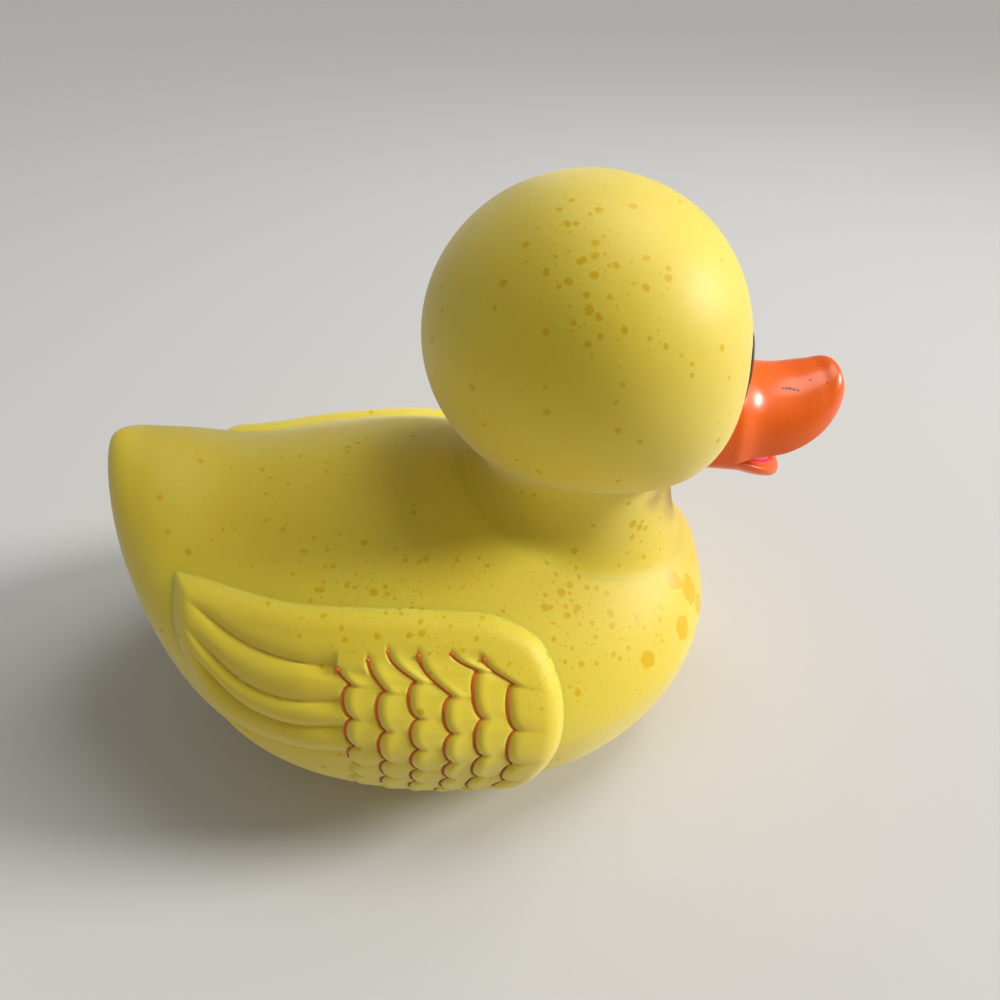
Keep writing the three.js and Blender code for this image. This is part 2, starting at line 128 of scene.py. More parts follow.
# %% Profiles of the body, from the tail (-1) to the breast (1)
widest_line = smooth_curve([(-1, 0.90), (-0.86, 0.71), (-0.65, 0.565), (-0.35, 0.50),
                            (0, 0.446), (0.35, 0.397), (0.7, 0.39), (1, 0.41)])
crown_above = smooth_curve([(-1, 0.655), (-0.86, 0.566), (-0.65, 0.502), (-0.35, 0.515),
                            (0, 0.542), (0.35, 0.536), (0.7, 0.514), (1, 0.49)])
plan_width = smooth_curve([(-1, 0.87), (-0.86, 0.945), (-0.65, 0.962), (-0.35, 0.975),
                           (0, 1.0), (0.35, 1.01), (0.7, 0.97), (1, 0.90)])
tail_closing = {"crown": 2.75, "keel": 2.25, "plan": 2.1}
breast_closing = {"crown": 2.4, "keel": 2.25, "plan": 2.33}
power_above, power_below = 1.56, 2.6


def along_body(share):
    """A place from the tail (-1) to the breast (1) as X."""
    return -tail_overhang + (np.asarray(share) + 1) * body_length / 2


def body_section(x):
    """The widest height at X, and the section's reach up, down and sideways."""
    share = np.clip(2 * (np.asarray(x) + tail_overhang) / body_length - 1, -1, 1)
    power = {key: np.where(share < 0, tail_closing[key], breast_closing[key]) for key in tail_closing}
    middle = widest_line(share) * back_height
    above = crown_above(share) * back_height * closing(share, power["crown"])
    below = (middle + base_trim) * closing(share, power["keel"])
    half = plan_width(share) * body_width / 2 * closing(share, power["plan"])
    return middle, above, below, half


def body_half_width(x, z):
    """Half the body's width at X and a height."""
    middle, above, below, half = body_section(x)
    reach = np.maximum(np.where(z > middle, above, below), 1e-6)
    return half * closing((z - middle) / reach, np.where(z > middle, power_above, power_below))


def back_surface(x, y):
    """Height of the back at a point of the plan."""
    middle, above, _, half = body_section(x)
    return middle + above * closing(y / np.maximum(half, 1e-6), power_above)


print("back height over the origin:", round(float(back_surface(0, 0)), 1), "mm")

# %% [markdown]
# ## From points to a closed piece
# Every surface here is a grid of points, so one function can join the grid into faces and close
# both ends. A closed mesh must have its faces turned outwards. The sign of the enclosed volume
# tells that at once, and it is cheaper and surer than asking Blender to guess the normals.

# %% Mesh helpers


def enclosed_volume(points, faces):
    """Signed volume of a closed mesh, in cubic millimetres."""
    total = 0.0
    for size in (3, 4):
        ring = np.array([face for face in faces if len(face) == size])
        for k in range(1, size - 1) if len(ring) else ():
            a, b, c = points[ring[:, 0]], points[ring[:, k]], points[ring[:, k + 1]]
            total += np.einsum("ij,ij->", a, np.cross(b, c)) / 6
    return total


def add_object(name, data):
    """An object in the scene that shows a mesh, a lamp or a camera."""
    item = bpy.data.objects.new(name, data)
    bpy.context.scene.collection.objects.link(item)
    return item


def make_piece(name, points, faces, material):
    """A mesh object in metres, smooth, closed and turned outwards."""
    if enclosed_volume(points, faces) < 0:
        faces = [face[::-1] for face in faces]
    mesh = bpy.data.meshes.new(name)
    mesh.from_pydata((points * MM).tolist(), [], faces)
    mesh.shade_smooth()
    mesh.materials.append(material)
    print(name, len(faces), "faces,", round(enclosed_volume(points, faces) / 1e3), "ml")
    return add_object(name, mesh)


def loft(rings, first, last):
    """Points and faces of a closed surface through rings, with an end point at each side."""
    count, sides = rings.shape[:2]
    points = np.concatenate([rings.reshape(-1, 3), [first, last]])
    cell = np.arange(count * sides).reshape(count, sides)
    turned = np.roll(cell, -1, axis=1)
    quads = np.stack([cell[:-1], turned[:-1], turned[1:], cell[1:]], -1).reshape(-1, 4).tolist()
    start, end = count * sides, count * sides + 1
    fans = [[start, b, a] for a, b in zip(cell[0].tolist(), turned[0].tolist())]
    fans += [[end, a, b] for a, b in zip(cell[-1].tolist(), turned[-1].tolist())]
    return points, quads + fans


print("mesh helpers ready")

# %% [markdown]
# ## Soft yellow vinyl
# The surface of old soft PVC is a matt yellow with a pale film on it: plasticiser and dust that
# have dried on the skin. Water drops have dissolved the film in small round spots, where the
# clean, deeper yellow shows. A Voronoi pattern gives drops of a real size, a few millimetres
# wide. Round masks set where they lie: on the crown of the head, over the breast and above the
# wing. The largest drops are placed one by one. Where a hand or a cloth wiped the breast, the clean
# patches are larger and ragged. The film also changes the gloss, so the same mask drives colour,
# roughness and the pale sheen that dust gives. The skin's own grain is too fine to show, so it is
# drawn at 0.9 mm.

# %% Where the drops lie, in millimetres: place, reach and how many
spot_fields = [
    ((55, -50, 277), 38, 0.50),
    ((62, -68, 252), 34, 0.30),
    ((95, -62, 258), 40, 0.16),
    ((48, -74, 116), 24, 0.95),
    ((72, -82, 101), 36, 0.62),
    ((52, -106, 92), 28, 0.62),
    ((92, -76, 94), 26, 0.80),
    ((96, -40, 124), 26, 0.80),
    ((-10, -84, 125), 44, 0.80),
    ((-60, -78, 132), 44, 0.72),
    ((-100, -35, 148), 46, 0.40),
    ((30, -115, 100), 30, 0.45),
]
single_drops = [
    ((50, -51, 276), 1.7), ((55, -56, 272), 2.0), ((64, -54, 275), 1.7), ((52, -65, 262), 2.1),
    ((56, -71, 253), 1.4), ((37, -50, 272), 1.4), ((75, -28, 290), 1.9), ((63, -79, 228), 1.3),
    ((83, -71, 248), 1.5), ((52, -71, 116), 2.1), ((47, -75, 115), 2.5), ((38, -83, 114), 2.1),
    ((55, -81, 110), 2.1), ((49, -85, 109), 2.0), ((56, -57, 127), 2.2), ((72, -80, 103), 2.4),
    ((35, -100, 107), 1.8), ((54, -103, 93), 1.9), ((51, -113, 84), 1.9), ((87, -79, 97), 1.7),
    ((103, -69, 93), 2.3), ((87, -49, 136), 2.6), ((92, -48, 132), 2.3), ((88, -51, 128), 1.9),
    ((96, -46, 129), 1.7), ((83, -51, 151), 1.5), ((16, -92, 119), 2.4), ((-45, -80, 129), 2.2),
]
plain_spots = 0.08
wiped_patches = [((113, -52, 97), 12), ((125, -50, 86), 14), ((132, -50, 72), 12), ((117, -71, 78), 12),
                 ((92, -93, 80), 9)]
drop_cell, drop_radius = 5.0, (0.17, 0.44)
droplet_cell, droplet_radius = 2.1, (0.14, 0.42)
drop_share = 0.9
droplet_strength = 0.75
drop_sharpness = 9.0
drop_growth, drop_edge = 1.15, 0.35
wobble_size, wobble_shift = 4.0, 1.8
blot_size, blot_level = 7.0, 0.87
# An ochre patch, made ragged by noise, at the front of the neck just under the head.
neck_patch_place, neck_patch_reach = (100, -40, 146), 13
print(len(spot_fields), "fields,", len(single_drops), "drops,", len(wiped_patches), "wiped patches")

# %% Masks made of nodes


def near(tree, position, centre, reach, edge=0.6):
    """1 at a place and 0 beyond its reach, with a soft edge."""
    point = tuple(value * MM for value in centre)
    away = add_node(tree, "ShaderNodeVectorMath", {0: position, 1: point}, "Value", operation="DISTANCE")
    return add_node(tree, "ShaderNodeMapRange", {
        "Value": away, "From Min": reach * MM * (1 - edge), "From Max": reach * MM,
        "To Min": 1.0, "To Max": 0.0}, interpolation_type="SMOOTHSTEP")


def drops(tree, position, cell, density, radius):
    """Round drops of random size, one to a cell, present where the density allows."""
    cell_scale = 1 / (cell * MM)
    away = add_node(tree, "ShaderNodeTexVoronoi", {"Vector": position, "Scale": cell_scale}, "Distance")
    red = add_node(tree, "ShaderNodeSeparateColor", {"Color": away.node.outputs["Color"]}, "Red")
    size = add_node(tree, "ShaderNodeMapRange", {
        "Value": red.node.outputs["Green"], "To Min": radius[0], "To Max": radius[1]})
    edge = add_node(tree, "ShaderNodeMath", {0: size, 1: away}, operation="SUBTRACT")
    inside = add_node(tree, "ShaderNodeMath", {0: edge, 1: drop_sharpness}, operation="MULTIPLY",
                      use_clamp=True)
    present = add_node(tree, "ShaderNodeMath", {0: red, 1: density}, operation="LESS_THAN")
    return add_node(tree, "ShaderNodeMath", {0: inside, 1: present}, operation="MULTIPLY")


print("masks: near a place, and in a drop")

# %% How a material starts


def start_material(name, values):
    """A new material with some shader values set, its tree, its shader and the place on the object."""
    material = bpy.data.materials.new(name)
    material.use_nodes = True
    tree = material.node_tree
    shader = tree.nodes["Principled BSDF"]
    for key, value in values.items():
        shader.inputs[key].default_value = value
    return material, tree, shader, add_node(tree, "ShaderNodeTexCoord", out="Object")


print("every material starts from one shader and the place on the object")

# %% The vinyl itself
film_yellow = linear("#f0d828")
clean_yellow = linear("#e6bf00")
neck_patch_ochre = linear("#a8791c")
film_size, film_span, film_thinning = 55.0, (0.35, 0.7), 0.22
pore_size, pore_span, pore_thinning = 0.9, (0.3, 0.75), 0.16
pore_height, pore_strength = 0.04, 0.5
soft_depth = 14.0
film_roughness, clean_roughness = 0.52, 0.40
dust_sheen = 0.45


def drop_density(tree, place):
    """How many of the cells hold a drop, by the fields they lie in."""
    density = plain_spots
    for centre, reach, amount in spot_fields:
        mask = near(tree, place, centre, reach)
        field = add_node(tree, "ShaderNodeMath", {0: mask, 1: amount}, operation="MULTIPLY")
        density = add_node(tree, "ShaderNodeMath", {0: density, 1: field}, operation="MAXIMUM")
    return density


def dropped_share(tree, place, wavy):
    """1 where a drop took the film off, and 0 elsewhere."""
    density = drop_density(tree, place)
    sparse = add_node(tree, "ShaderNodeMath", {0: density, 1: drop_share}, operation="MULTIPLY")
    big = drops(tree, wavy, drop_cell, sparse, drop_radius)
    small = drops(tree, wavy, droplet_cell, density, droplet_radius)
    faint = add_node(tree, "ShaderNodeMath", {0: small, 1: droplet_strength}, operation="MULTIPLY")
    cleaned = add_node(tree, "ShaderNodeMath", {0: big, 1: faint}, operation="MAXIMUM")
    for centre, reach in single_drops:
        drop = near(tree, wavy, centre, reach * drop_growth, drop_edge)
        cleaned = add_node(tree, "ShaderNodeMath", {0: cleaned, 1: drop}, operation="MAXIMUM")
    return cleaned


def cleaned_share(tree, place):
    """1 where a drop or a wipe took the film off, and the noise that makes the wipes ragged."""
    wobble = add_node(tree, "ShaderNodeTexNoise", {
        "Vector": place, "Scale": 1 / (wobble_size * MM)}, "Color")
    swing = add_node(tree, "ShaderNodeVectorMath", {0: wobble, 1: (0.5, 0.5, 0.5)}, operation="SUBTRACT")
    shift = add_node(tree, "ShaderNodeVectorMath", {0: swing, "Scale": wobble_shift * MM},
                     operation="SCALE")
    wavy = add_node(tree, "ShaderNodeVectorMath", {0: place, 1: shift}, operation="ADD")
    cleaned = dropped_share(tree, place, wavy)
    ragged = add_node(tree, "ShaderNodeTexNoise", {
        "Vector": wavy, "Scale": 1 / (blot_size * MM), "Detail": 3.0})
    for centre, reach in wiped_patches:
        mask = near(tree, place, centre, reach, 1.0)
        spread = add_node(tree, "ShaderNodeMath", {0: mask, 1: ragged}, operation="ADD")
        over = add_node(tree, "ShaderNodeMath", {0: spread, 1: blot_level}, operation="SUBTRACT")
        patch = add_node(tree, "ShaderNodeMath", {0: over, 1: drop_sharpness}, operation="MULTIPLY",
                         use_clamp=True)
        cleaned = add_node(tree, "ShaderNodeMath", {0: cleaned, 1: patch}, operation="MAXIMUM")
    return cleaned, ragged


def film_share(tree, place, pores, cleaned):
    """0 where the film is whole and 1 where the vinyl is clean."""
    cloud = add_node(tree, "ShaderNodeTexNoise", {"Vector": place, "Scale": 1 / (film_size * MM)})
    thin = add_node(tree, "ShaderNodeMapRange", {
        "Value": cloud, "From Min": film_span[0], "From Max": film_span[1], "To Max": film_thinning})
    grain = add_node(tree, "ShaderNodeMapRange", {
        "Value": pores, "From Min": pore_span[0], "From Max": pore_span[1], "To Max": pore_thinning})
    uneven = add_node(tree, "ShaderNodeMath", {0: thin, 1: grain}, operation="ADD")
    return add_node(tree, "ShaderNodeMath", {0: uneven, 1: cleaned}, operation="MAXIMUM")


def vinyl_material():
    """Matt yellow PVC, a little see-through, with a pale film and drops that cleaned it."""
    material, tree, shader, place = start_material("soft_yellow_vinyl", {
        "IOR": 1.5, "Specular IOR Level": 0.4, "Sheen Roughness": 0.6, "Subsurface Weight": 0.4,
        "Subsurface Radius": (1.0, 0.4, 0.05), "Subsurface Scale": soft_depth * MM})
    cleaned, ragged = cleaned_share(tree, place)
    pores = add_node(tree, "ShaderNodeTexNoise", {"Vector": place, "Scale": 1 / (pore_size * MM)})
    clean = film_share(tree, place, pores, cleaned)
    yellow = add_node(tree, "ShaderNodeMix", {"Factor": clean, "A": film_yellow, "B": clean_yellow},
                      "Result", data_type="RGBA")
    # The ochre patch at the front of the neck, under the head, is mixed into the colour here.
    in_neck_patch = near(tree, place, neck_patch_place, neck_patch_reach, 1.0)
    neck_patch = add_node(tree, "ShaderNodeMath", {0: in_neck_patch, 1: ragged}, operation="MULTIPLY")
    colour = add_node(tree, "ShaderNodeMix", {"Factor": neck_patch, "A": yellow, "B": neck_patch_ochre},
                      "Result", data_type="RGBA")
    gloss = add_node(tree, "ShaderNodeMapRange", {
        "Value": clean, "To Min": film_roughness, "To Max": clean_roughness})
    dust = add_node(tree, "ShaderNodeMapRange", {"Value": clean, "To Min": dust_sheen, "To Max": 0.0})
    height = add_node(tree, "ShaderNodeMath", {0: pores, 1: pore_height * MM}, operation="MULTIPLY")
    bump = add_node(tree, "ShaderNodeBump", {"Height": height, "Strength": pore_strength, "Distance": 1.0})
    linked = {"Base Color": colour, "Roughness": gloss, "Sheen Weight": dust, "Normal": bump}
    for key, socket in linked.items():
        tree.links.new(socket, shader.inputs[key])
    return material


vinyl = vinyl_material()
print(vinyl.name, "has", len(vinyl.node_tree.nodes), "nodes")

# %% [markdown]
# ## Glossy paint
# The orange, pink and black are brushed or sprayed on after moulding. Orange is laid on with a
# brush, which leaves fine strokes across the bill. A noise that is stretched along the stroke
# gives them, coarser than real bristles, so that they show. The orange also carries one short
# scratch and a few nicks. They are small dark marks, listed one by one, and the scratch is a row
# of them.

# %% Paint materials
bill_nicks = [((167, -15, 192), 1.2), ((169, -15, 192), 1.3), ((171, -15, 192), 1.4),
              ((173, -15.5, 191.5), 1.3), ((175, -16, 191), 1.1), ((183, -11, 194), 1.0),
              ((190, -2, 197), 0.7), ((191, -14, 194), 0.7)]
nick_brown = linear("#7a2606")
stroke_size, stroke_stretch, stroke_span = 1.6, (1.0, 0.09, 0.09), (0.35, 0.7)
stroke_height, stroke_strength, stroke_darkening = 0.02, 0.35, 0.78


def paint_material(name, code, roughness, stroke=0.0, nicks=()):
    """A glossy paint with fine brush strokes across X, and the places where it is nicked."""
    material, tree, shader, place = start_material(name, {
        "Base Color": linear(code), "Roughness": roughness, "Specular IOR Level": 0.35,
        "Coat Weight": 0.1, "Coat Roughness": 0.12})
    stretch = add_node(tree, "ShaderNodeMapping", {"Vector": place, "Scale": stroke_stretch})
    strokes = add_node(tree, "ShaderNodeTexNoise", {
        "Vector": stretch, "Scale": 1 / (stroke_size * MM), "Detail": 4.0})
    height = add_node(tree, "ShaderNodeMath", {0: strokes, 1: stroke_height * MM}, operation="MULTIPLY")
    bump = add_node(tree, "ShaderNodeBump", {
        "Height": height, "Strength": stroke_strength, "Distance": 1.0})
    tree.links.new(bump, shader.inputs["Normal"])
    if not stroke:
        return material
    deep = tuple(value * stroke_darkening for value in linear(code)[:3]) + (1.0,)
    share = add_node(tree, "ShaderNodeMapRange", {
        "Value": strokes, "From Min": stroke_span[0], "From Max": stroke_span[1], "To Max": stroke})
    colour = add_node(tree, "ShaderNodeMix", {"Factor": share, "A": linear(code), "B": deep},
                      "Result", data_type="RGBA")
    for centre, reach in nicks:
        nick = near(tree, place, centre, reach, 0.5)
        colour = add_node(tree, "ShaderNodeMix", {"Factor": nick, "A": colour, "B": nick_brown},
                          "Result", data_type="RGBA")
    tree.links.new(colour, shader.inputs["Base Color"])
    return material


print("nicks in the bill:", len(bill_nicks))

# %% Line paint, and all the paints
# Painted shade: the line paint darkens from orange at line_top to brown at line_low, with a ragged border,
# standing in for the shade in the lower grooves.
line_top, line_low = 98.0, 52.0
line_patch, line_ragged = 5.0, 50.0
line_lit_orange, line_shaded_brown = linear("#fa6420"), linear("#8c3a0c")


def line_paint_material():
    """Thin line paint, bright orange high on the wing and darker brown lower down, which is painted shade.
    """
    material, tree, shader, place = start_material("orange_red_line_paint", {"Roughness": 0.5})
    height = add_node(tree, "ShaderNodeSeparateXYZ", {"Vector": place}, "Z")
    patches = add_node(tree, "ShaderNodeTexNoise", {"Vector": place, "Scale": 1 / (line_patch * MM)})
    swing = add_node(tree, "ShaderNodeMath", {0: patches, 1: 0.5}, operation="SUBTRACT")
    drift = add_node(tree, "ShaderNodeMath", {0: swing, 1: line_ragged * MM}, operation="MULTIPLY")
    ragged = add_node(tree, "ShaderNodeMath", {0: height, 1: drift}, operation="ADD")
    down = add_node(tree, "ShaderNodeMapRange", {
        "Value": ragged, "From Min": line_top * MM, "From Max": line_low * MM})
    colour = add_node(tree, "ShaderNodeMix", {"Factor": down, "A": line_lit_orange, "B": line_shaded_brown},
                      "Result", data_type="RGBA")
    tree.links.new(colour, shader.inputs["Base Color"])
    return material


orange_paint = paint_material("glossy_orange_paint", "#ff6a0a", 0.3, stroke=0.22, nicks=bill_nicks)
pink_paint = paint_material("glossy_pink_paint", "#ff2d78", 0.32, stroke=0.2)
black_paint = paint_material("glossy_black_paint", "#100c0a", 0.2)
line_paint = line_paint_material()
print("paints:", [m.name for m in (orange_paint, pink_paint, black_paint, line_paint)])

# %% [markdown]
# ## The body
# The loft follows the rule above. Rings lie closer together towards the tail and the breast,
# where the form turns fastest. The underside is pressed flat, as the duck stands on it. A soft
# hollow lies in each side of the back.

# %% Loft the body
body_rings, body_sides = 150, 220
hollow_depth, hollow_length, hollow_width = 4.0, 68.0, 32.0
hollow_along, hollow_aside = float(along_body(-0.4)), body_width * 0.215


def bent(value, power):
    """A cosine or sine bent so that a circle becomes a superellipse."""
    return np.sign(value) * np.abs(value) ** (2 / power)


def hollow_press(x, y):
    """How far the hollows press the back down."""
    along = 2 * (x - hollow_along) / hollow_length
    aside = 2 * (np.abs(y) - hollow_aside) / hollow_width
    return hollow_depth * np.exp(-along ** 2 - aside ** 2)


def body_points():
    """Rings of the body, shaped (ring, side, 3)."""
    share = -np.cos(np.pi * np.arange(1, body_rings) / body_rings)
    x = along_body(share)[:, None]
    middle, above, below, half = (values[:, None] for values in body_section(x[:, 0]))
    turn = turns(body_sides)[None, :]
    up = np.sin(turn) > 0
    power = np.where(up, power_above, power_below)
    y = half * bent(np.cos(turn), power)
    z = middle + np.where(up, above, below) * bent(np.sin(turn), power)
    z = z - np.where(up, hollow_press(x, y), 0)
    return np.stack([np.broadcast_to(x, y.shape), y, np.maximum(z, 0)], -1)


def body_end(share):
    """The point in which the body closes at one end."""
    x = float(along_body(share))
    return np.array([x, 0, float(body_section(x)[0])])


points, faces = loft(body_points(), body_end(-1), body_end(1))
body_shell = make_piece("body_shell", points, faces, vinyl)

# %% [markdown]
# ## The head, by Geometry Nodes
# The head is a ball that is slightly flattened, with a puffed cheek on either side of the bill.
# That is a rule: for each direction from the centre there is one distance. Geometry Nodes suit it,
# because the tree can start from a plain sphere and move each point along its own direction, and
# the sizes stay open as named inputs.

# %% Sizes of the head
head_width, head_height = 160.0, 152.0
head_centre = np.array([64.0, 0.0, back_height + 63.0])
cheek_rise, cheek_spread, cheek_yaw, cheek_pitch = 10.0, 0.46, 0.82, -0.52


def head_direction(yaw, pitch):
    """Unit vectors from the head's centre."""
    yaw, pitch = np.broadcast_arrays(yaw, pitch)
    return np.stack([np.cos(pitch) * np.cos(yaw), np.cos(pitch) * np.sin(yaw), np.sin(pitch)], -1)


def head_point(direction):
    """The head's surface along a direction, cheeks included."""
    half = np.array([head_width, head_width, head_height]) / 2
    radius = 1 / np.linalg.norm(direction / half, axis=-1)
    for side in (-1, 1):
        cheek = head_direction(side * cheek_yaw, cheek_pitch)
        away = np.arccos(np.clip(direction @ cheek, -1, 1))
        radius = radius + cheek_rise * np.exp(-(away / cheek_spread) ** 2)
    return direction * radius[..., None] + head_centre


print("head centre:", head_centre, "mm")

# %% A Geometry Nodes tree for the head


def group_inputs(tree, floats=(), vectors=()):
    """Adds named inputs, and returns their identifiers and their sockets inside the tree."""
    tree.interface.new_socket("Geometry", in_out="INPUT", socket_type="NodeSocketGeometry")
    kinds = {**dict.fromkeys(vectors, "NodeSocketVector"), **dict.fromkeys(floats, "NodeSocketFloat"),
             "Material": "NodeSocketMaterial"}
    found = {}
    for name, kind in kinds.items():
        found[name] = tree.interface.new_socket(name, in_out="INPUT", socket_type=kind).identifier
    tree.interface.new_socket("Geometry", in_out="OUTPUT", socket_type="NodeSocketGeometry")
    return found, tree.nodes.new("NodeGroupInput").outputs


def end_tree(tree, geometry, material):
    """Makes instances real and the surface smooth, and sets the material."""
    real = add_node(tree, "GeometryNodeRealizeInstances", {"Geometry": geometry})
    smooth = add_node(tree, "GeometryNodeSetShadeSmooth", {"Geometry": real})
    done = add_node(tree, "GeometryNodeSetMaterial", {"Geometry": smooth, "Material": material})
    add_node(tree, "NodeGroupOutput", {0: done})


def head_tree():
    """Moves the points of a sphere out to the head's surface."""
    tree = bpy.data.node_groups.new("moulded_head", "GeometryNodeTree")
    cheeks = ("Left Cheek", "Right Cheek")
    found, given = group_inputs(tree, ("Cheek Rise", "Cheek Spread"), ("Half Size", "Centre") + cheeks)
    ball = add_node(tree, "GeometryNodeMeshUVSphere", {
        "Segments": 180, "Rings": 120, "Radius": 1.0}, "Mesh")
    spot = add_node(tree, "GeometryNodeInputPosition")
    direction = add_node(tree, "ShaderNodeVectorMath", {0: spot}, operation="NORMALIZE")
    scaled = add_node(tree, "ShaderNodeVectorMath", {0: direction, 1: given["Half Size"]},
                      operation="DIVIDE")
    length = add_node(tree, "ShaderNodeVectorMath", {0: scaled}, "Value", operation="LENGTH")
    radius = add_node(tree, "ShaderNodeMath", {0: 1.0, 1: length}, operation="DIVIDE")
    for cheek in cheeks:
        dot = add_node(tree, "ShaderNodeVectorMath", {0: direction, 1: given[cheek]}, "Value",
                       operation="DOT_PRODUCT")
        below_one = add_node(tree, "ShaderNodeMath", {0: dot, 1: 1.0}, operation="MINIMUM")
        away = add_node(tree, "ShaderNodeMath", {0: below_one}, operation="ARCCOSINE")
        share = add_node(tree, "ShaderNodeMath", {0: away, 1: given["Cheek Spread"]}, operation="DIVIDE")
        square = add_node(tree, "ShaderNodeMath", {0: share, 1: share}, operation="MULTIPLY")
        minus = add_node(tree, "ShaderNodeMath", {0: square, 1: -1.0}, operation="MULTIPLY")
        fall = add_node(tree, "ShaderNodeMath", {0: minus}, operation="EXPONENT")
        puff = add_node(tree, "ShaderNodeMath", {0: fall, 1: given["Cheek Rise"]}, operation="MULTIPLY")
        radius = add_node(tree, "ShaderNodeMath", {0: radius, 1: puff}, operation="ADD")
    reach = add_node(tree, "ShaderNodeVectorMath", {0: direction, "Scale": radius}, operation="SCALE")
    place = add_node(tree, "ShaderNodeVectorMath", {0: reach, 1: given["Centre"]}, operation="ADD")
    moved = add_node(tree, "GeometryNodeSetPosition", {"Geometry": ball, "Position": place})
    end_tree(tree, moved, given["Material"])
    return tree, found


def from_nodes(name, mesh, tree, found, values, material):
    """Runs a tree on a mesh and keeps the result as a plain mesh object."""
    carrier = add_object(name + "_carrier", mesh)
    modifier = carrier.modifiers.new("build", "NODES")
    modifier.node_group = tree
    for key, value in values.items():
        modifier[found[key]] = value
    modifier[found["Material"]] = material
    carrier.update_tag()
    depsgraph = bpy.context.evaluated_depsgraph_get()
    result = bpy.data.meshes.new_from_object(carrier.evaluated_get(depsgraph))
    bpy.data.objects.remove(carrier)
    result.name = name
    result.materials.clear()
    result.materials.append(material)
    print(name, len(result.polygons), "faces of", material.name)
    return add_object(name, result)


tree, found = head_tree()
head_shell = from_nodes("head_shell", bpy.data.meshes.new("empty_head"), tree, found, {
    "Half Size": [head_width * MM / 2, head_width * MM / 2, head_height * MM / 2],
    "Centre": list(head_centre * MM),
    "Cheek Rise": cheek_rise * MM,
    "Cheek Spread": cheek_spread,
    "Left Cheek": [float(value) for value in head_direction(cheek_yaw, cheek_pitch)],
    "Right Cheek": [float(value) for value in head_direction(-cheek_yaw, cheek_pitch)],
}, vinyl)

# %% [markdown]
# ## The neck
# Between head and back the mould has a soft waist. Its surface leaves the back along the back's
# own slope and meets the head along the head's slope, so no edge shows. A Hermite curve does
# that: it takes two end points and two directions. One such curve is drawn for each bearing
# round the neck.

# %% A neck that leaves the back and meets the head smoothly
neck_width, neck_spread_back, neck_spread_head = 104.0, 14.0, 8.0
neck_pull, neck_buried, neck_overlap = 45.0, 0.8, 6.0


def head_underside(reach):
    """Height of the head's lower half at a distance from its axis."""
    return head_centre[2] - head_height / 2 * np.sqrt(1 - (reach / (head_width / 2)) ** 2)


def neck_points(levels=28, sides=120):
    """Rings from the back up to the head, shaped (level, side, 3)."""
    turn = turns(sides)
    low_reach = neck_width / 2 + neck_spread_back
    high_reach = neck_width / 2 + neck_spread_head

    def on_back(reach):
        return back_surface(head_centre[0] + reach * np.cos(turn), reach * np.sin(turn))

    rise_low = on_back(low_reach - 1) - on_back(low_reach)
    rise_high = head_underside(high_reach + 1) - head_underside(high_reach)
    low_unit = 1 / np.hypot(1, rise_low)
    high_unit = 1 / np.hypot(1, rise_high)
    low_end, high_end = low_reach + neck_overlap, high_reach + neck_overlap
    rings = [(low_end, on_back(low_end) - neck_buried)]
    for t in np.linspace(0, 1, levels):
        a, b = 2 * t ** 3 - 3 * t ** 2 + 1, t ** 3 - 2 * t ** 2 + t
        c, d = -2 * t ** 3 + 3 * t ** 2, t ** 3 - t ** 2
        reach = a * low_reach - b * neck_pull * low_unit + c * high_reach + d * neck_pull * high_unit
        height = a * on_back(low_reach) + b * neck_pull * rise_low * low_unit
        height = height + c * head_underside(high_reach) + d * neck_pull * rise_high * high_unit
        rings.append((reach, height))
    rings.append((high_end, head_underside(high_end) + neck_buried))
    flat = [np.stack([head_centre[0] + reach * np.cos(turn), reach * np.sin(turn),
                      np.broadcast_to(height, turn.shape)], -1) for reach, height in rings]
    return np.array(flat)


rings = neck_points()
points, faces = loft(rings, np.array([head_centre[0], 0, back_height / 2]), head_centre)
neck_shell = make_piece("neck_shell", points, faces, vinyl)

# %% [markdown]
# ## The wings
# A wing is a shallow relief on the flank. Its outline is four edges in side view, and a Coons
# patch spans them: it blends the edges, so that every point inside has a share along the wing
# and a share down it. The relief is then a height over the body's surface at these two shares.

# %% The outline of a wing, as places along the body and shares of its height
wing_top = [(-0.745, 0.855), (-0.60, 0.824), (-0.46, 0.809), (-0.31, 0.802), (-0.17, 0.796),
            (-0.03, 0.786), (0.15, 0.757), (0.245, 0.722), (0.315, 0.68), (0.35, 0.635)]
wing_front = [(0.35, 0.635), (0.375, 0.56), (0.375, 0.474), (0.345, 0.365), (0.30, 0.275),
              (0.24, 0.21)]
wing_rear = [(-0.745, 0.855), (-0.752, 0.76), (-0.73, 0.66), (-0.67, 0.525)]
wing_bottom = [(-0.67, 0.525), (-0.577, 0.397), (-0.43, 0.295), (-0.227, 0.23), (0, 0.199),
               (0.24, 0.21)]
wing_length = body_length * 1.1 / 2
wing_depth = back_height * 0.565


class Edge:
    """A smooth curve through points in side view, walked by shares of its length."""

    def __init__(self, marks):
        shares, heights = np.array(marks).T
        self.points = np.stack([along_body(shares), heights * back_height], -1)
        self.steps = np.linspace(0, 1, 401)
        walked = self.bend(self.steps)
        lengths = np.r_[0, np.cumsum(np.hypot(*np.diff(walked, axis=0).T))]
        self.shares = lengths / lengths[-1]

    def bend(self, t):
        """Catmull-Rom curve at t from 0 to 1."""
        last = len(self.points) - 1
        i = np.clip((t * last).astype(int), 0, last - 1)
        w = (t * last - i)[..., None]
        before, a = self.points[np.maximum(i - 1, 0)], self.points[i]
        b, after = self.points[i + 1], self.points[np.minimum(i + 2, last)]
        leave, arrive = (b - before) / 2, (after - a) / 2
        cubic = 2 * a - 2 * b + leave + arrive
        square = 3 * b - 3 * a - 2 * leave - arrive
        return ((cubic * w + square) * w + leave) * w + a

    def at(self, share):
        """The point at a share of the length."""
        return self.bend(np.interp(share, self.shares, self.steps))


top_edge, front_edge = Edge(wing_top), Edge(wing_front)
rear_edge, bottom_edge = Edge(wing_rear), Edge(wing_bottom)


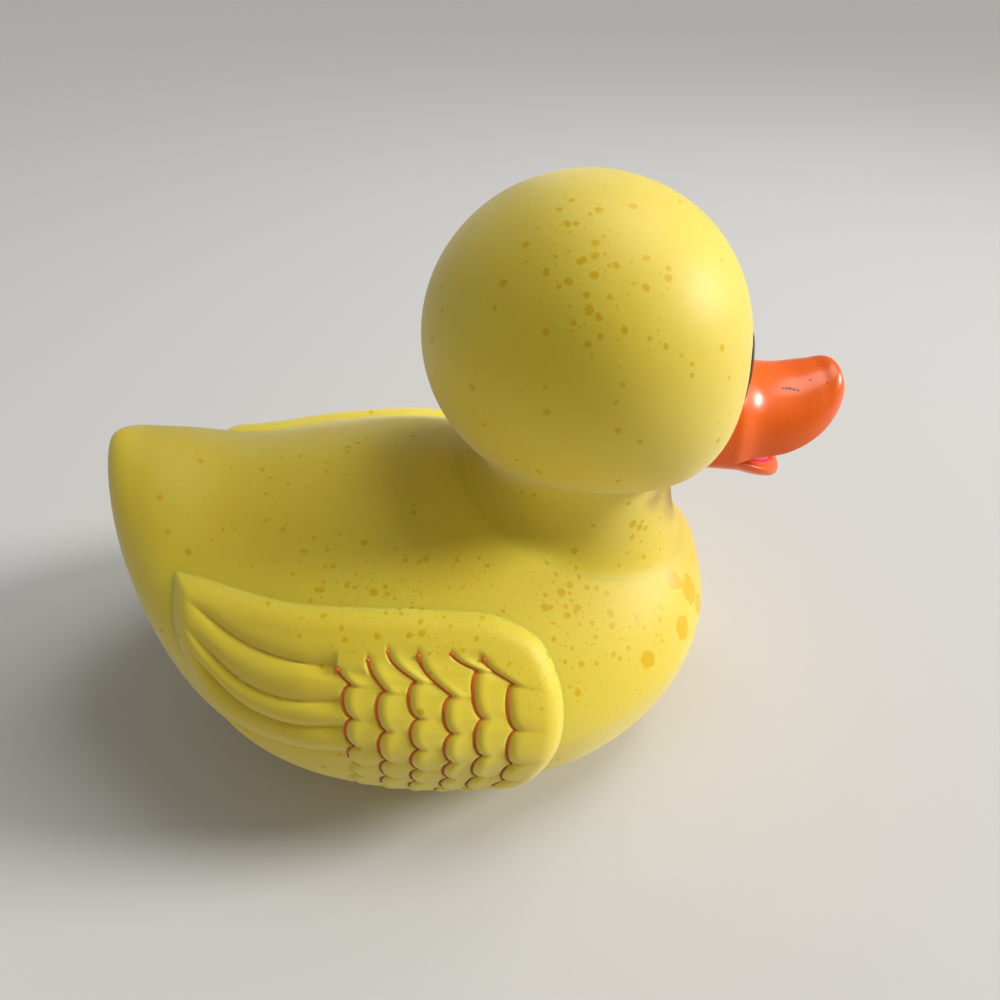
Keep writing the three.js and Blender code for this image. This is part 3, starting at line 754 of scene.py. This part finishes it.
def wing_place(u, v):
    """X and Z of the patch at a share along it (u) and a share down it (v)."""
    a, b = u[..., None], v[..., None]
    place = top_edge.at(u) * (1 - b) + bottom_edge.at(u) * b
    place += rear_edge.at(v) * (1 - a) + front_edge.at(v) * a
    place -= top_edge.points[0] * (1 - a) * (1 - b) + top_edge.points[-1] * a * (1 - b)
    place -= bottom_edge.points[0] * (1 - a) * b + bottom_edge.points[-1] * a * b
    return place


print("wing:", round(wing_length), "by", round(wing_depth), "mm in side view")

# %% [markdown]
# ## Rows of feathers
# The front half of the wing has six rows of short feathers. Each row ends towards the tail in a
# line of arcs and overlaps the row behind it, like roof tiles. Behind them lie five long
# feathers. Each row needs five values only: how far along the wing it lies, where its first notch
# is, how far apart the notches are, and how far its top end runs back and up.

# %% Lines between the feathers
feather_rows = [
    (0.467, 0.250, 0.130, 0.034, 0.050),
    (0.546, 0.260, 0.155, 0.042, 0.100),
    (0.620, 0.223, 0.132, 0.070, 0.093),
    (0.704, 0.269, 0.142, 0.080, 0.129),
    (0.771, 0.185, 0.167, 0.067, 0.055),
    (0.856, 0.222, 0.177, 0.075, 0.075),
]
row_lean, arc_depth = 0.07, 4.4
long_marks = [(0.10, 0.19, 0.19), (0.23, 0.375, 0.31), (0.36, 0.505, 0.42), (0.93, 0.75, 0.565)]
long_lines = [smooth_curve(list(zip((0.0, 0.2, 0.47), marks))) for marks in long_marks]


def smoothstep(value, low, high):
    """0 below low, 1 above high and smooth between them."""
    t = np.clip((value - low) / (high - low), 0, 1)
    return t * t * (3 - 2 * t)


def notch_share(row, v):
    """0 at a notch, 1 at the next one; above the first notch it stays at a half."""
    _, first, pitch, _, _ = feather_rows[row]
    return np.where(v > first, np.mod((v - first) / pitch, 1), 0.5)


def row_line(row, v):
    """Share along the wing of a row's line at a share down the wing."""
    place, first, _, run, top = feather_rows[row]
    arc = np.sqrt(np.maximum(1 - (2 * notch_share(row, v) - 1) ** 2, 0))
    below = place + row_lean * (v - first) - arc_depth / wing_length * arc * smoothstep(1 - v, 0, 0.1)
    back = np.sin(np.clip((first - v) / top, 0, 1) * np.pi / 2)
    above = place - run * back * smoothstep(v, 0, 0.1)
    return np.where(v > first, below, above)


print(len(feather_rows), "rows,", len(long_lines), "long lines")

# %% Points over the body's flank
wing_rise, rim_height = 5.5, 0.5
edge_roll, edge_power = 11.0, 1.7
step_depth, step_round = 3.3, 5.0
row_fall = 2.0
notch_share_of_step, notch_length, notch_power = 0.6, 7.0, 1.5
long_depth, long_pillow, long_shoulder = 3.1, 0.55, 6.0
foot_dip = 1.2


def on_flank(place, off, side):
    """A point over the body's flank, moved out along the surface's normal."""
    x, z = place[..., 0], place[..., 1]
    step = 1.0
    slope_x = (body_half_width(x + step, z) - body_half_width(x - step, z)) / (2 * step)
    slope_z = (body_half_width(x, z + step) - body_half_width(x, z - step)) / (2 * step)
    normal = np.stack([-slope_x, np.ones_like(x), -slope_z], -1)
    normal /= np.linalg.norm(normal, axis=-1)[..., None]
    point = np.stack([x, body_half_width(x, z), z], -1) + normal * np.asarray(off)[..., None]
    return point * np.array([1, side, 1])


def roll(share):
    """A quarter round: 0 at 0, 1 from 1 on."""
    return np.sqrt(1 - (1 - np.clip(share, 0, 1)) ** 2)


def outline_inset(u, v):
    """Distance over the surface from the wing's outline, in millimetres."""
    walk = np.linspace(0, 1, 160)
    zero, one = np.zeros_like(walk), np.ones_like(walk)
    sides = [wing_place(*pair) for pair in ((walk, zero), (one, walk), (walk, one), (zero, walk))]
    rim = on_flank(np.concatenate(sides), 0.0, 1)
    here = on_flank(wing_place(u, v), 0.0, 1)
    flat = here.reshape(-1, 3)
    near_rim = [np.linalg.norm(flat[i:i + 4000, None] - rim[None], axis=-1).min(1)
                for i in range(0, len(flat), 4000)]
    return np.concatenate(near_rim).reshape(u.shape)


print("a feather row steps up by", step_depth, "mm")

# %% Columns of the grid, which follow the rows' lines
long_count, row_count, front_count = 56, 15, 22
column_crowding = 1.4
beyond_wing = 1.3


def wing_grid(rows=128):
    """Shares u and v, with each column's row number and its share of the way to the next line."""
    v = np.linspace(0, 1, rows)
    columns = []
    for i in range(long_count):
        share = i / long_count
        columns.append((share * row_line(0, v), -1, share))
    for row in range(len(feather_rows)):
        last = row == len(feather_rows) - 1
        ahead = np.ones_like(v) if last else row_line(row + 1, v)
        count = front_count if last else row_count
        for i in range(count + (1 if last else 0)):
            share = (i / count) ** column_crowding
            columns.append((row_line(row, v) * (1 - share) + ahead * share, row, share))
    u, kind, share = (np.array(values) for values in zip(*columns))
    return u, np.broadcast_to(v, u.shape), kind, share


def long_feather_height(u, v, share):
    """Height of the long feathers, from 0 on their crowns down to their grooves."""
    lines = np.array([line(u) for line in long_lines] + [np.full_like(u, beyond_wing)])
    height = -long_depth * (1 - roll((lines[0] - v) * wing_depth / long_shoulder))
    for k in range(len(long_lines)):
        across = (v - lines[k]) / (lines[k + 1] - lines[k])
        pillow = np.abs(np.sin(np.pi * np.clip(across, 0, 1))) ** long_pillow
        height = np.where((across > 0) & (across <= 1), -long_depth * (1 - pillow), height)
    dip = foot_dip * smoothstep(share, 0.75, 1) * smoothstep(v, 0.12, 0.2)
    return height * smoothstep(u, 0.02, 0.14) - dip


def row_height(row, u, v, share):
    """Height of one row of short feathers, from its line forward to the next."""
    _, first, _, _, top = feather_rows[row]
    ahead = (u - row_line(row, v)) * wing_length
    notch = np.where(v > first, np.abs(np.sin(np.pi * notch_share(row, v))), 1)
    groove = notch_share_of_step * np.exp(-ahead / notch_length) * (1 - notch) ** notch_power
    lift = roll(ahead / step_round) * (1 - groove)
    fall = 0 if row == len(feather_rows) - 1 else row_fall * share
    height = step_depth * (lift - 1) - fall * smoothstep(ahead, 0, 8)
    return height * smoothstep(v, first - top * 1.3, first - top * 0.7)


def rolled_edge(inset, height):
    """The wing's own height at a distance from its outline, with the feathers' relief on it."""
    rim = rim_height + (wing_rise - rim_height) * roll(inset / edge_roll) ** edge_power
    return rim + height * smoothstep(inset, 3, 12)


def wing_relief(u, v, kind, share):
    """Height of the wing over the body at every point of the grid."""
    height = np.zeros_like(u)
    for i, row in enumerate(kind):
        if row < 0:
            height[i] = long_feather_height(u[i], v[i], share[i])
        else:
            height[i] = row_height(row, u[i], v[i], share[i])
    return rolled_edge(outline_inset(u, v), height)


u, v, kind, share = wing_grid()
relief = wing_relief(u, v, kind, share)
print("grid", u.shape, "relief", round(relief.min(), 2), "to", round(relief.max(), 2), "mm")

# %% [markdown]
# ## Closing a wing
# The relief alone would be an open sheet with a hard edge. Outside its outline a narrow skirt
# runs down to the body in a soft hollow curve, as the mould's own corner is rounded. The skirt
# ends just under the body's skin, and a fan of faces to a point inside the body closes the piece.

# %% Make a wing
skirt_width, skirt_steps, skirt_sink = 2.6, 7, 0.4
stretch_limit, anchor_depth = 6.0, 30.0


def wing_points_and_faces(side):
    """The whole closed wing on one side of the body."""
    columns, rows = u.shape
    places = wing_place(u, v)
    outer = on_flank(places, relief, side)
    cell = np.arange(columns * rows).reshape(columns, rows)
    quads = np.stack([cell[:-1, :-1], cell[1:, :-1], cell[1:, 1:], cell[:-1, 1:]], -1).reshape(-1, 4)
    rim = np.concatenate([cell[:-1, 0], cell[-1, :-1], cell[:0:-1, -1], cell[0, :0:-1]])
    edge = places.reshape(-1, 2)[rim]
    ahead = np.roll(edge, -4, axis=0) - np.roll(edge, 4, axis=0)
    out = np.stack([ahead[:, 1], -ahead[:, 0]], -1)
    out /= np.linalg.norm(out, axis=1)[:, None]
    if np.einsum("ij,ij->", out, edge - edge.mean(0)) < 0:
        out = -out
    flat = np.zeros(len(rim))
    stretch = np.linalg.norm(on_flank(edge + out, flat, side) - on_flank(edge, flat, side), axis=1)
    out /= np.clip(stretch, 1, stretch_limit)[:, None]
    points = [outer.reshape(-1, 3)]
    faces = quads.tolist()
    before = rim
    for k in range(1, skirt_steps + 1):
        share_out = k / skirt_steps
        off = rim_height * (1 - share_out) ** 2 - skirt_sink * share_out
        ring = on_flank(edge + out * skirt_width * share_out, np.full(len(rim), off), side)
        ring[:, 2] -= hollow_press(ring[:, 0], ring[:, 1]) * share_out
        here = sum(len(part) for part in points) + np.arange(len(rim))
        points.append(ring)
        faces += np.stack([before, here, np.roll(here, -1), np.roll(before, -1)], -1).tolist()
        before = here
    inner = sum(len(part) for part in points)
    middle = on_flank(edge.mean(0), -anchor_depth, side)
    points.append(middle[None])
    faces += [[inner, b, a] for a, b in zip(before.tolist(), np.roll(before, -1).tolist())]
    return np.concatenate(points), faces


wings = []
for name, side in (("right_wing", -1), ("left_wing", 1)):
    points, faces = wing_points_and_faces(side)
    wings.append(make_piece(name, points, faces, vinyl))

# %% [markdown]
# ## Painted lines on the feathers
# A fine line of orange-red paint runs along each row's foot and starts with a small blob, where
# the brush or nozzle was put down. It is a thin bead on the surface that follows a path, so
# Geometry Nodes draw it: the path becomes a curve, the curve gets a small round section whose
# size wanders, and a small ball sits at each start.

# %% A tree for the painted lines
bead_patch = 6.0


def line_tree():
    """A bead of paint along each path, with a blob at its start."""
    tree = bpy.data.node_groups.new("painted_line", "GeometryNodeTree")
    found, given = group_inputs(tree, ("Bead Radius", "Wander", "Blob Radius", "Seed"))
    path = add_node(tree, "GeometryNodeMeshToCurve", {"Mesh": given["Geometry"]})
    where = add_node(tree, "GeometryNodeInputPosition")
    uneven = add_node(tree, "ShaderNodeTexNoise", {
        "Vector": where, "W": given["Seed"], "Scale": 1 / (bead_patch * MM), "Detail": 1.0},
        noise_dimensions="4D")
    swing = add_node(tree, "ShaderNodeMath", {0: uneven, 1: 0.5}, operation="SUBTRACT")
    wander = add_node(tree, "ShaderNodeMath", {0: swing, 1: given["Wander"]}, operation="MULTIPLY")
    factor = add_node(tree, "ShaderNodeMath", {0: 1.0, 1: wander}, operation="ADD")
    sized = add_node(tree, "GeometryNodeSetCurveRadius", {"Curve": path, "Radius": factor})
    ring = add_node(tree, "GeometryNodeCurvePrimitiveCircle", {
        "Resolution": 8, "Radius": given["Bead Radius"]}, "Curve")
    bead = add_node(tree, "GeometryNodeCurveToMesh", {
        "Curve": sized, "Profile Curve": ring, "Fill Caps": True})
    starts = add_node(tree, "GeometryNodeCurveEndpointSelection", {"Start Size": 1, "End Size": 0})
    ball = add_node(tree, "GeometryNodeMeshIcoSphere", {
        "Radius": given["Blob Radius"], "Subdivisions": 3}, "Mesh")
    blobs = add_node(tree, "GeometryNodeInstanceOnPoints", {
        "Points": path, "Selection": starts, "Instance": ball})
    both = add_node(tree, "GeometryNodeJoinGeometry", {0: bead})
    tree.links.new(blobs, both.node.inputs[0])
    end_tree(tree, both, given["Material"])
    return tree, found


lines, line_inputs = line_tree()
print("painted_line takes", list(line_inputs))

# %% The paths, and the lines on both wings
line_ends = [0.60, 0.84, 0.88, 0.90, 0.88, 0.84]
bead_radius, blob_radius, bead_lift, bead_wander = 0.42, 0.9, 0.3, 2.0
bead_back = 0.2


def line_path(row, side):
    """Points along the foot of one row, just over the surface."""
    _, first, _, _, top = feather_rows[row]
    down = np.linspace(first - top, line_ends[row], 160)
    along = row_line(row, down) - bead_back / wing_length
    foot = row_height(row, along + 2 * bead_back / wing_length, down, 0.0)
    height = rolled_edge(outline_inset(along, down), foot)
    return on_flank(wing_place(along, down), height + bead_lift, side)


def line_mesh(side):
    """All rows' paths as one mesh of edges."""
    mesh = bpy.data.meshes.new("paths")
    paths = [line_path(row, side) for row in range(len(feather_rows))]
    steps = len(paths[0])
    starts = [row * steps + i for row in range(len(paths)) for i in range(steps - 1)]
    edges = [(start, start + 1) for start in starts]
    mesh.from_pydata((np.concatenate(paths) * MM).tolist(), edges, [])
    return mesh


painted = []
for name, side, seed in (("right_feather_lines", -1, 3.0), ("left_feather_lines", 1, 8.0)):
    painted.append(from_nodes(name, line_mesh(side), lines, line_inputs, {
        "Bead Radius": bead_radius * MM, "Wander": bead_wander, "Blob Radius": blob_radius * MM,
        "Seed": seed}, line_paint))

# %% [markdown]
# ## The bill and the tongue
# The upper bill is a wide scoop with a turned-up tip. The lower one is a shorter dish, and the
# tongue lies in it. All three are layers of one kind: along the reach each section is an arch
# over its two edges, and it narrows to a round tip. So one function makes them from their
# profiles. The upper bill widens a little at the face, where it runs into the cheeks.

# %% Profiles of the bill, from the face (0) to the tip (1), above the head's centre
bill_reach, bill_width, bill_height, bill_wall, bill_in_face = 66.0, 68.0, 38.0, 7.0, 4.0
bill_tip_rise, mouth_drop, mouth_gap = 20.0, 55.0, 5.0
lower_bill_reach, lower_bill_width, lower_bill_depth, lower_bill_droop = 40.0, 64.0, 12.0, 20.0
lip_rise, dish_depth, dish_edge = 3.0, 6.0, (0.5, 0.85)
tongue_reach, tongue_width, tongue_thickness, tongue_below_lip = 34.0, 50.0, 5.0, -1.0
flare_height, flare_width, flare_length = 6.0, 0.09, 0.12
crown_share = smooth_curve([(-0.4, 1.08), (0, 1), (0.25, 0.88), (0.5, 0.82), (0.75, 0.88), (0.9, 0.92),
                            (1, 0.68)])
rim_share = smooth_curve([(-0.4, 0.05), (0, 0), (0.45, 0), (0.75, 0.325), (0.95, 0.85), (1, 1)])
droop_share = smooth_curve([(-0.9, -0.3), (0, 0), (0.5, 0.42), (1, 1)])
bill_plan = smooth_curve([(-0.4, 1.1), (0, 1.05), (0.2, 0.99), (0.5, 0.97), (0.8, 0.92), (1, 0.86)])
bill_face = head_centre[0] + head_width / 2 - bill_in_face
tip_power = 2.6
arch_power = 0.8


def flare(t):
    """1 at the face and 0 a little way out, for the hollow curve at the bill's root."""
    return np.exp(-(np.maximum(t, 0) / flare_length) ** 1.5)


def bill_crown(t):
    """Height of the upper bill's top line."""
    return bill_height * crown_share(t) - mouth_drop + flare_height * flare(t)


def bill_rim(t):
    """Height of the upper bill's edge."""
    return bill_tip_rise * rim_share(t) - mouth_drop


def lower_rim(t):
    """Height of the lower bill's edge."""
    return -mouth_drop - mouth_gap - lower_bill_droop * droop_share(t)


def tongue_line(t):
    """Height of the tongue's edge, which follows the lower bill's."""
    return lower_rim(t * tongue_reach / lower_bill_reach) - tongue_below_lip


def bill_layer(name, material, reach, width, start, over, under, flared=0.0, steps=80, sides=112):
    """One layer of the bill; over and under give its heights from the arch's share of lift."""
    t = (start + (1 - start) * np.sin(np.pi * np.arange(steps) / (2 * steps)))[:, None]
    turn = turns(sides)[None, :]
    half = width / 2 * (bill_plan(t) + flared * flare(t)) * closing(np.maximum(t, 0), tip_power)
    lift = np.abs(np.sin(turn))
    height = np.where(np.sin(turn) >= 0, over(t, lift), under(t, lift))
    rings = np.stack([np.broadcast_to(bill_face + t * reach, height.shape), half * np.cos(turn),
                      head_centre[2] + height], -1)
    ends = [np.array([bill_face + t_end * reach, 0, head_centre[2] + float(over(np.array(t_end), 0.0))])
            for t_end in (start, 1.0)]
    points, faces = loft(rings, *ends)
    return make_piece(name, points, faces, material)


def in_dish(t, lift):
    """1 in the dish of the lower bill and 0 on its lip."""
    return smoothstep(lift * closing(t, tip_power), *dish_edge)


upper_bill = bill_layer(
    "upper_bill", orange_paint, bill_reach, bill_width, -0.4,
    lambda t, lift: bill_rim(t) + (bill_crown(t) - bill_rim(t)) * lift ** arch_power,
    lambda t, lift: bill_rim(t) - bill_wall / 2 * np.sqrt(lift), flare_width)
lower_bill = bill_layer(
    "lower_bill", orange_paint, lower_bill_reach, lower_bill_width, -0.9,
    lambda t, lift: lower_rim(t) + lip_rise * np.sqrt(lift) - dish_depth * in_dish(t, lift),
    lambda t, lift: lower_rim(t) - lower_bill_depth * lift * closing(t, tip_power))
tongue = bill_layer(
    "tongue", pink_paint, tongue_reach, tongue_width, -0.9,
    lambda t, lift: tongue_line(t) + lip_rise * np.sqrt(lift),
    lambda t, lift: tongue_line(t) - tongue_thickness * lift)

# %% [markdown]
# ## The eyes
# Each eye is a raised oval with a rounded rim, painted black. It follows the curve of the face,
# so it is drawn on the head's own directions rather than as a flat disc.

# %% Two raised eyes
eye_width, eye_height, eye_rise, eye_yaw, eye_pitch = 27.0, 38.0, 1.2, 0.36, -0.1
eye_sink, eye_rim_sink, eye_rim_power = 4.0, 0.4, 6


def make_eye(name, side, steps=14, sides=72):
    """An oval button that stands proud of the face."""
    turn = turns(sides)

    def ring(share, off):
        yaw = side * eye_yaw + share * eye_width * np.cos(turn) / head_width
        pitch = eye_pitch + share * eye_height * np.sin(turn) / head_height
        direction = head_direction(yaw, pitch)
        return head_point(direction) + direction * off

    def skin(share):
        return eye_rise * np.sqrt(1 - share ** eye_rim_power) - eye_rim_sink * share ** eye_rim_power

    shares = np.sin(np.linspace(0, np.pi / 2, steps + 1))[1:]
    rings = np.array([ring(share, skin(share)) for share in shares] + [ring(1.0, -eye_sink)])
    middle = head_direction(side * eye_yaw, eye_pitch)
    top, bottom = (head_point(middle) + middle * off for off in (eye_rise, -eye_sink))
    points, faces = loft(rings, top, bottom)
    return make_piece(name, points, faces, black_paint)


eyes = [make_eye("right_eye", -1), make_eye("left_eye", 1)]

# %% [markdown]
# ## Putting the pieces on the frame
# The duck is one node in the library part, and it doesn't move. Each piece stands for that node
# and rides on its only body.

# %% Ride on the root body, and replace the duck solid
finishes = {"vinyl": [body_shell, head_shell, neck_shell] + wings,
            "bill": [upper_bill, lower_bill] + painted, "tongue": [tongue], "eye": eyes}
for slot_name, pieces in finishes.items():
    for piece in pieces:
        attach(piece, "root")
        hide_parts("duck")
print(sum(len(pieces) for pieces in finishes.values()), "pieces ride on root")

# %% [markdown]
# ## Stage, light and camera
# A pale floor and three lights. One is a soft sun from the front, where the bill points, as wide
# as a window looks. The second hangs high on the same side and puts the head's shadow on the
# back. The third is an even fill from all round. The light stays at a plain level, at which a
# colour comes out about as it is written.

# %% Floor, lights and world
floor_size = 12.0
floor_colour = linear("#dcdad6")
window_direction, window_power, window_spread = (0.88, 0.02, 0.38), 2.7, 17
overhead_place, overhead_aim = Vector((0.85, 0.35, 1.75)), Vector((0, 0, 0.12))
overhead_power, overhead_size = 15, 1.0
room_level = 0.23
corners = [(x * floor_size, y * floor_size, 0) for x, y in ((-1, -1), (1, -1), (1, 1), (-1, 1))]
floor_mesh = bpy.data.meshes.new("floor")
floor_mesh.from_pydata(corners, [], [(0, 1, 2, 3)])
floor = add_object("floor", floor_mesh)
floor_finish = start_material("plain_pale_floor", {"Base Color": floor_colour, "Roughness": 0.8})[0]
floor_mesh.materials.append(floor_finish)


def add_light(name, kind, energy, direction, **settings):
    """A light that shines from a direction."""
    data = bpy.data.lights.new(name, kind)
    data.energy = energy
    for key, value in settings.items():
        setattr(data, key, value)
    lamp = add_object(name, data)
    lamp.rotation_euler = Vector(direction).to_track_quat("Z", "Y").to_euler()
    return lamp


window = add_light("window", "SUN", window_power, window_direction, angle=np.radians(window_spread))
overhead = add_light("overhead", "AREA", overhead_power, overhead_place - overhead_aim,
                     shape="SQUARE", size=overhead_size)
overhead.location = overhead_place
world = bpy.data.worlds.new("soft_room")
bpy.context.scene.world = world
world.use_nodes = True
room = world.node_tree.nodes["Background"].inputs
room["Color"].default_value = (1, 1, 1, 1)
room["Strength"].default_value = room_level
bpy.context.scene.view_settings.view_transform = "Standard"
print("lights:", [lamp.name for lamp in (window, overhead)])

# %% [markdown]
# ## The camera
# The photo looks down on the duck's right side from close by, with a wide lens. The turn and
# tilt were found by fitting the duck's outline, and the distance by how much nearer parts look
# larger.

# %% Camera
camera_turn, camera_tilt = -5.0, 38.5
camera_place = (-6.5, -334.2, 384.0)
focal_pixels, frame_pixels, sensor_width = 740.0, 1000.0, 36.0
turn, tilt = np.radians([camera_turn, camera_tilt])
back = Vector((np.sin(turn) * np.cos(tilt), -np.cos(turn) * np.cos(tilt), np.sin(tilt)))
right = Vector((np.cos(turn), np.sin(turn), 0))
up = back.cross(right)
camera_data = bpy.data.cameras.new("camera")
camera_data.sensor_width = sensor_width
camera_data.lens = sensor_width * focal_pixels / frame_pixels
camera_data.clip_start = 0.01
camera = add_object("camera", camera_data)
rotation = Matrix((right, up, back)).transposed().to_4x4()
camera.matrix_world = Matrix.Translation(Vector(camera_place) * MM) @ rotation
bpy.context.scene.camera = camera
print("lens:", round(camera_data.lens, 2), "mm")
